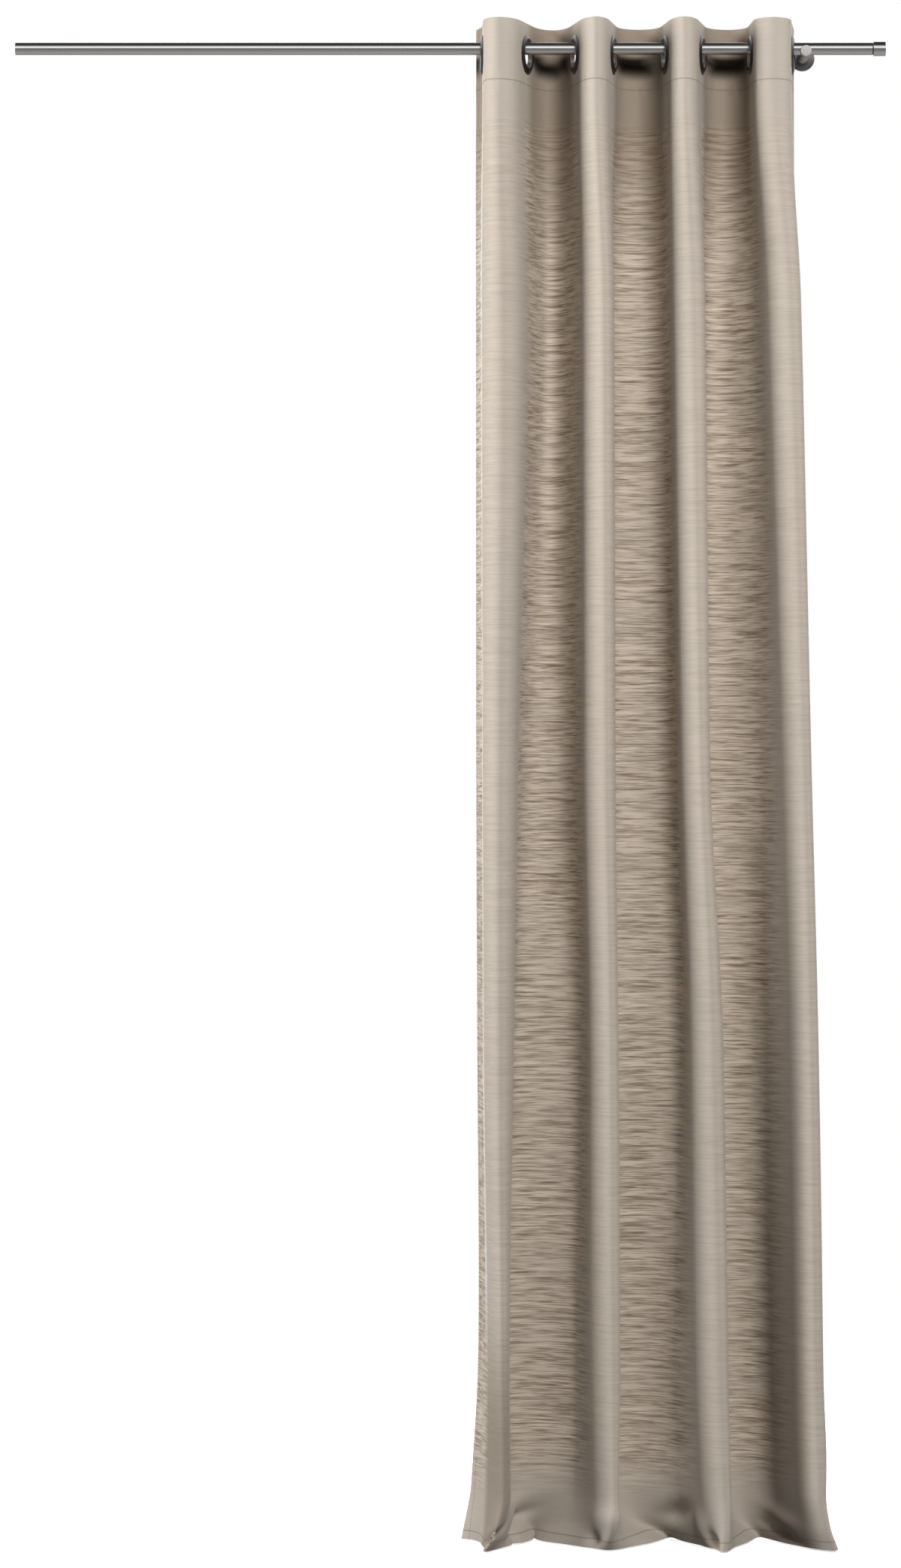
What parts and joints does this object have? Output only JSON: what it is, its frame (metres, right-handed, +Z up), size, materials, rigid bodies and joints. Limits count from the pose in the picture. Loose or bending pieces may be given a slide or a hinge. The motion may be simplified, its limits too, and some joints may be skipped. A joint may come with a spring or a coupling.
{
  "type": "window curtain on a pole",
  "caption": "Gathered eyelet curtain panel hanging on a thin round steel pole, held by a wall bracket with an open saddle; the eyelets slide along the pole.",
  "frame": {"origin": "centre of the bracket's fixing disc, on the wall", "axes": "+Y into the wall, +X along the pole towards its end cap, +Z up; the curtain hangs on the -X side of the bracket, and the room is towards -Y"},
  "size_m": [1.4019, 0.188, 2.45],
  "materials": {
    "brushed_steel": "satin",
    "dark_steel": "satin",
    "zinc_steel": "satin",
    "black_nickel": "gloss",
    "black_nylon": "matte",
    "taupe_cloth": "matte"
  },
  "bodies": {
    "bracket": {"fixing_disc": "dark_steel", "wall_screw_left": "zinc_steel", "wall_screw_right": "zinc_steel", "arm_stud": "zinc_steel", "rosette": "dark_steel", "bracket_arm": "brushed_steel", "pole_clamp_screw": "zinc_steel"},
    "pole": {"pole_tube": "brushed_steel"},
    "end_cap_set": {"cap_plug": "black_nylon", "end_cap": "brushed_steel"},
    "panel_1": {"cloth_heading_1": "taupe_cloth", "cloth_panel_1_upper": "taupe_cloth", "cloth_panel_1_lower": "taupe_cloth", "eyelet_1_front": "black_nickel", "eyelet_1_back": "black_nickel"},
    "panel_2": {"cloth_heading_2": "taupe_cloth", "cloth_panel_2_upper": "taupe_cloth", "cloth_panel_2_lower": "taupe_cloth", "eyelet_2_front": "black_nickel", "eyelet_2_back": "black_nickel"},
    "panel_3": {"cloth_heading_3": "taupe_cloth", "cloth_panel_3_upper": "taupe_cloth", "cloth_panel_3_lower": "taupe_cloth", "eyelet_3_front": "black_nickel", "eyelet_3_back": "black_nickel"},
    "panel_4": {"cloth_heading_4": "taupe_cloth", "cloth_panel_4_upper": "taupe_cloth", "cloth_panel_4_lower": "taupe_cloth", "eyelet_4_front": "black_nickel", "eyelet_4_back": "black_nickel"},
    "panel_5": {"cloth_heading_5": "taupe_cloth", "cloth_panel_5_upper": "taupe_cloth", "cloth_panel_5_lower": "taupe_cloth", "eyelet_5_front": "black_nickel", "eyelet_5_back": "black_nickel"},
    "panel_6": {"cloth_heading_6": "taupe_cloth", "cloth_panel_6_upper": "taupe_cloth", "cloth_panel_6_lower": "taupe_cloth", "eyelet_6_front": "black_nickel", "eyelet_6_back": "black_nickel"},
    "panel_7": {"cloth_heading_7": "taupe_cloth", "cloth_panel_7_upper": "taupe_cloth", "cloth_panel_7_lower": "taupe_cloth", "eyelet_7_front": "black_nickel", "eyelet_7_back": "black_nickel"},
    "panel_8": {"cloth_heading_8": "taupe_cloth", "cloth_panel_8_upper": "taupe_cloth", "cloth_panel_8_lower": "taupe_cloth", "eyelet_8_front": "black_nickel", "eyelet_8_back": "black_nickel"}
  },
  "joints": [
    {"name": "pole_lift", "type": "slide", "parent": "bracket", "child": "pole", "axis": [0, 0, 1], "range_m": [0, 0.03]},
    {"name": "cap_pull", "type": "slide", "parent": "pole", "child": "end_cap_set", "axis": [1, 0, 0], "range_m": [0, 0.03]},
    {"name": "stack_slide", "type": "slide", "parent": "pole", "child": "panel_8", "axis": [-1, 0, 0], "range_m": [0, 0.3]},
    {"name": "curtain_draw", "type": "slide", "parent": "panel_8", "child": "panel_7", "axis": [-1, 0, 0], "range_m": [0, 0.05]},
    {"name": "fold_spread_6", "type": "slide", "parent": "panel_7", "child": "panel_6", "axis": [-1, 0, 0], "range_m": [0, 0.05]},
    {"name": "fold_spread_5", "type": "slide", "parent": "panel_6", "child": "panel_5", "axis": [-1, 0, 0], "range_m": [0, 0.05]},
    {"name": "fold_spread_4", "type": "slide", "parent": "panel_5", "child": "panel_4", "axis": [-1, 0, 0], "range_m": [0, 0.05]},
    {"name": "fold_spread_3", "type": "slide", "parent": "panel_4", "child": "panel_3", "axis": [-1, 0, 0], "range_m": [0, 0.05]},
    {"name": "fold_spread_2", "type": "slide", "parent": "panel_3", "child": "panel_2", "axis": [-1, 0, 0], "range_m": [0, 0.05]},
    {"name": "fold_spread_1", "type": "slide", "parent": "panel_2", "child": "panel_1", "axis": [-1, 0, 0], "range_m": [0, 0.05]}
  ],
  "couplings": [
    {"joint": "fold_spread_6", "follows": "curtain_draw", "ratio": 1},
    {"joint": "fold_spread_5", "follows": "curtain_draw", "ratio": 1},
    {"joint": "fold_spread_4", "follows": "curtain_draw", "ratio": 1},
    {"joint": "fold_spread_3", "follows": "curtain_draw", "ratio": 1},
    {"joint": "fold_spread_2", "follows": "curtain_draw", "ratio": 1},
    {"joint": "fold_spread_1", "follows": "curtain_draw", "ratio": 1}
  ]
}
